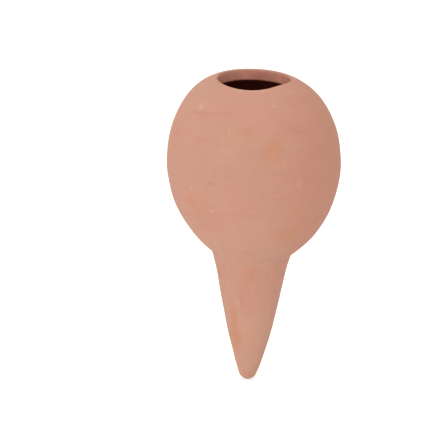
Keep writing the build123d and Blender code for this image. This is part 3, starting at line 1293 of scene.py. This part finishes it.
def broken(wiring, amount, noise, ragged):
    """Amount of a mark with an edge broken up by noise, nothing where there is no mark."""
    shifted = wiring.swayed(amount, noise, ragged)
    return wiring.times(wiring.ramp(shifted, 0.2, 0.95), wiring.ramp(amount, 0.05, 0.3))


def clay_noises(wiring, place, upright):
    """The noises of the clay, by name."""
    noises = {name: wiring.noise(place, *values) for name, values in EVEN_NOISES.items()}
    for name, (level, pulled, detail, roughness) in STROKE_NOISES.items():
        stretched = wiring.scaled(place, pulled if upright else level)
        noises[name] = wiring.noise(stretched, 1.0, detail, roughness)
    return noises


def skin_colour(wiring, noises, first, second, painted_light_tone):
    """Colour of the skin: clouds, painted shade of the flank or painted light of the tip, streaks, marks and
    pores.
    """
    colours = settings().colours
    body = mixed(wiring, wiring.ramp(noises["clouds"], 0.34, 0.66), opaque(first), opaque(second))
    # Painted shade on the bulb's right flank, or painted light towards the spike's tip, by the drift note
    body = mixed(wiring, wiring.times(noted(wiring, "drift"), PAINTED_LIGHT_SHARE), body, opaque(painted_light_tone))
    streaks = wiring.times(wiring.ramp(noises["streaks"], 0.5, 0.78), STREAK_SHARE)
    body = mixed(wiring, streaks, body, opaque(colours.blush))
    for kind, strength, ragged, noise in MARK_LOOKS:
        amount = broken(wiring, noted(wiring, kind), noises[noise], ragged)
        body = mixed(wiring, wiring.times(amount, strength), body, opaque(getattr(colours, kind)))
    return mixed(wiring, wiring.times(noted(wiring, "pit"), PORE_SHARE), body, opaque(colours.pore))


def hollow_colour(wiring, place):
    """Colour of the hollow, with painted shade that darkens it towards the crown."""
    colours = settings().colours
    height = wiring.add("ShaderNodeSeparateXYZ", {0: place}).outputs[2]
    # Painted shade: the hollow turns near-black towards the crown
    crown_shade_share = wiring.ramp(height, CROWN_SHADE_START, CROWN_SHADE_END)
    return mixed(wiring, crown_shade_share, opaque(colours.inside), opaque(colours.painted_crown_shade))


def clay_material(name, first, second, painted_light_tone, upright=False, brushed=False):
    """Matt fired clay: its skin with turning lines or pulls, the cut wall and the hollow."""
    material, wiring = new_material(name)
    place = object_place(wiring)
    noises = clay_noises(wiring, place, upright)
    cut, inside = noted(wiring, "cut"), noted(wiring, "inside")
    body = skin_colour(wiring, noises, first, second, painted_light_tone)
    body = mixed(wiring, cut, body, opaque(settings().colours.cut))
    body = mixed(wiring, inside, body, hollow_colour(wiring, place))

    tone = 1.0
    for noise, share in TONE_SHARES:
        tone = wiring.swayed(tone, noises[noise], share)
    tone = wiring.swayed(tone, noises["smudges"], wiring.times(cut, -SMUDGE_SHARE))
    toned = wiring.scaled(body, wiring.vector(tone, tone, tone))

    grain = noises["grain"]
    relief = wiring.math("MULTIPLY_ADD", noises["lines"], 0.2, wiring.times(grain, 0.5))
    inputs = {"Strength": 0.35 if brushed else 0.5, "Distance": BUMP_DEPTH, "Height": relief}
    inputs = {
        "Base Color": toned,
        "Roughness": wiring.math("MULTIPLY_ADD", grain, 0.12, 0.84),
        "Diffuse Roughness": 0.6,
        "Specular IOR Level": wiring.math("MULTIPLY_ADD", inside, -0.25, 0.25),
        "Normal": wiring.add("ShaderNodeBump", inputs).outputs[0],
    }
    shader = wiring.add("ShaderNodeBsdfPrincipled", inputs)
    wiring.add("ShaderNodeOutputMaterial", {"Surface": shader.outputs[0]})
    return material


def grit_material():
    """Grains from burnt brown to pale lime."""
    colours = settings().colours
    material, wiring = new_material("Grit")
    tone = noted(wiring, "tone")
    grain = wiring.noise(object_place(wiring), 9000.0, 2.0, 0.6)
    body = mixed(wiring, wiring.ramp(tone, 0.42, 0.6), opaque(colours.blush), opaque(colours.lime))
    body = mixed(wiring, wiring.ramp(tone, 0.12, 0.02), body, opaque(colours.pore))
    body = mixed(wiring, wiring.times(grain, 0.3), body, opaque(colours.biscuit))
    inputs = {"Base Color": body, "Roughness": 0.9, "Specular IOR Level": 0.25}
    shader = wiring.add("ShaderNodeBsdfPrincipled", inputs)
    wiring.add("ShaderNodeOutputMaterial", {"Surface": shader.outputs[0]})
    return material


def floor_material():
    """Matt white board, lifted towards white where the camera sees it, that keeps the shadow."""
    material, wiring = new_material("White Board")
    cloud = wiring.noise(object_place(wiring), 4.0, 2.0, 0.5)
    level = wiring.math("MULTIPLY_ADD", cloud, 0.02, 0.87)
    board = wiring.add("ShaderNodeBsdfDiffuse", {"Color": wiring.vector(level, level, level)}).outputs[0]
    seen = wiring.add("ShaderNodeLightPath").outputs["Is Camera Ray"]
    glow = wiring.add("ShaderNodeEmission", {"Color": WHITE, "Strength": FLOOR_GLOW}).outputs[0]
    lifted = wiring.add("ShaderNodeAddShader", {0: board, 1: glow}).outputs[0]
    shader = wiring.add("ShaderNodeMixShader", {0: seen, 1: board, 2: lifted}).outputs[0]
    wiring.add("ShaderNodeOutputMaterial", {"Surface": shader})
    return material


# Operators


def place_in_frame(piece, node):
    """Lets a finished piece stand for its solid."""
    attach(piece, "root")
    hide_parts(node)


class WATERING_OT_bulb(Operator):
    """Throw the hollow bulb and cut its mouth"""

    bl_idname = "watering_spike.bulb"
    bl_label = "Throw Bulb"

    def execute(self, context):
        chosen = settings()
        piece = make_bulb(chosen.bulb, chosen.spike, chosen.slip)
        colours = chosen.colours
        # The third colour is the painted shade of the right flank
        material = clay_material("Fired Clay", colours.salmon, colours.biscuit, colours.flank)
        press_finish(piece, material)
        place_in_frame(piece, "bulb")
        return {"FINISHED"}


class WATERING_OT_spike(Operator):
    """Press the hollow spike"""

    bl_idname = "watering_spike.spike"
    bl_label = "Press Spike"

    def execute(self, context):
        chosen = settings()
        piece = make_spike(chosen.spike, chosen.slip)
        colours = chosen.colours
        # The third tone is the painted light towards the tip
        tones = (colours.salmon, colours.biscuit, colours.pale)
        material = clay_material("Fired Clay Pulled", *tones, upright=True)
        press_finish(piece, material, upright=True)
        place_in_frame(piece, "spike")
        return {"FINISHED"}


class WATERING_OT_slip(Operator):
    """Lute the joint with slip"""

    bl_idname = "watering_spike.slip"
    bl_label = "Lute Joint"

    def execute(self, context):
        chosen = settings()
        piece = make_slip(chosen.bulb, chosen.spike, chosen.slip)
        colours = chosen.colours
        # The third colour is the painted shade of the right flank
        material = clay_material("Fired Slip", colours.slip, colours.biscuit, colours.flank, brushed=True)
        press_finish(piece, material, ring_share=0.5, pit_share=0.5)
        place_in_frame(piece, "seam_slip")
        return {"FINISHED"}


class WATERING_OT_grit(Operator):
    """Scatter grains of lime and burnt clay over the bulb and the spike"""

    bl_idname = "watering_spike.grit"
    bl_label = "Scatter Grit"

    def execute(self, context):
        grit = settings().grit
        tree, identifiers = grit_tree()
        material = grit_material()
        for name, base in (("grit_bulb", "clay_bulb"), ("grit_spike", "clay_spike")):
            piece = bpy.data.objects.new(name, bpy.data.objects[base].data.copy())
            context.scene.collection.objects.link(piece)
            values = {
                "Grains per Square Metre": grit.per_area,
                "Grain Radius": grit.radius,
                "Sunk Share": grit.sunk,
                "Seed": grit.seed,
                "Material": material,
            }
            bake_tree(piece, tree, identifiers, values)
            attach(piece, "root")
        return {"FINISHED"}


# Stage

# Lamps: name, the setting that holds their power, width and place
LAMPS = (
    ("key_lamp", "key_power", 1.6, (-1.3, -2.0, 1.0)),
    ("fill_lamp", "fill_power", 1.2, (0.5, -2.3, 0.15)),
    ("top_lamp", "top_power", 1.6, (-0.2, 0.4, 2.4)),
)
SENSOR_WIDTH_MM = 36.0
NEAREST_SEEN, FARTHEST_SEEN = 0.05, 50.0


def add_lamp(name, power, width, place, target):
    """Large soft lamp that points at a target."""
    data = bpy.data.lights.new(name, "AREA")
    data.shape = "DISK"
    data.size = width
    data.energy = power
    lamp = bpy.data.objects.new(name, data)
    lamp.location = place
    lamp.rotation_euler = (Vector(target) - Vector(place)).to_track_quat("-Z", "Y").to_euler()
    lamp.visible_camera = False
    bpy.context.scene.collection.objects.link(lamp)


def add_world(strength):
    """Even light, white where the camera sees it, in glossy reflections and through glass."""
    world = bpy.data.worlds.new("Studio")
    world.use_nodes = True
    world.node_tree.nodes.clear()
    wiring = Wiring(world.node_tree)
    light = wiring.add("ShaderNodeBackground", {"Strength": strength, "Color": WHITE}).outputs[0]
    white = wiring.add("ShaderNodeBackground", {"Strength": 1.0, "Color": WHITE}).outputs[0]
    path = wiring.add("ShaderNodeLightPath").outputs
    seen = wiring.math("MAXIMUM", path["Is Camera Ray"], path["Is Glossy Ray"])
    seen = wiring.math("MAXIMUM", seen, path["Is Transmission Ray"])
    shader = wiring.add("ShaderNodeMixShader", {0: seen, 1: light, 2: white}).outputs[0]
    wiring.add("ShaderNodeOutputWorld", {"Surface": shader})
    bpy.context.scene.world = world


def add_floor(width):
    """Pale floor under the tip."""
    half, height = width / 2, spike_low.z
    ways = ((-1, -1), (1, -1), (1, 1), (-1, 1))
    mesh = bpy.data.meshes.new("floor")
    mesh.from_pydata([(x * half, y * half, height) for x, y in ways], [], [(0, 1, 2, 3)])
    floor = bpy.data.objects.new("floor", mesh)
    bpy.context.scene.collection.objects.link(floor)
    mesh.materials.append(floor_material())


def add_camera(stage, target):
    """Camera at the photograph's angle and framing."""
    data = bpy.data.cameras.new("camera")
    data.sensor_width = SENSOR_WIDTH_MM
    data.lens = stage.lens
    data.shift_x = stage.shift_x
    data.shift_y = stage.shift_y
    data.clip_start = NEAREST_SEEN
    data.clip_end = FARTHEST_SEEN
    camera = bpy.data.objects.new("camera", data)
    elevation = stage.camera_elevation
    back = Vector((0, -math.cos(elevation), math.sin(elevation)))
    camera.location = Vector(target) + back * stage.camera_distance
    camera.rotation_euler = Euler((math.pi / 2 - elevation, 0, 0))
    bpy.context.scene.collection.objects.link(camera)
    bpy.context.scene.camera = camera


class WATERING_OT_stage(Operator):
    """Set up the floor, the lamps, the even light and the camera"""

    bl_idname = "watering_spike.stage"
    bl_label = "Set Up Stage"

    def execute(self, context):
        stage = settings().stage
        context.scene.view_settings.view_transform = "Standard"
        target = (0, 0, stage.aim_height)
        add_world(stage.world_strength)
        add_floor(stage.floor_width)
        for name, power, width, place in LAMPS:
            add_lamp(name, getattr(stage, power), width, place, target)
        add_camera(stage, target)
        return {"FINISHED"}


class WATERING_PT_panel(Panel):
    """Lists the steps that make the spike"""

    bl_label = "Watering Spike"
    bl_idname = "WATERING_PT_panel"
    bl_space_type = "VIEW_3D"
    bl_region_type = "UI"
    bl_category = "Watering Spike"

    def draw(self, context):
        for step in STEPS:
            self.layout.operator(step.bl_idname)


STEPS = (WATERING_OT_stage, WATERING_OT_bulb, WATERING_OT_spike, WATERING_OT_slip, WATERING_OT_grit)
GROUPS = (BulbSizes, SpikeSizes, SlipSizes, FinishSizes, GritSizes, ClayColours, StageSizes, WateringSpike)


def register():
    """Adds the settings, the operators and the panel."""
    for entry in GROUPS + STEPS + (WATERING_PT_panel,):
        bpy.utils.register_class(entry)
    bpy.types.Scene.watering_spike = PointerProperty(type=WateringSpike)


def unregister():
    """Takes them out again."""
    del bpy.types.Scene.watering_spike
    for entry in reversed(GROUPS + STEPS + (WATERING_PT_panel,)):
        bpy.utils.unregister_class(entry)


def main():
    """Makes everything in order."""
    register()
    bpy.ops.watering_spike.stage()
    bpy.ops.watering_spike.bulb()
    bpy.ops.watering_spike.spike()
    bpy.ops.watering_spike.slip()
    bpy.ops.watering_spike.grit()


if __name__ == "__main__":
    main()
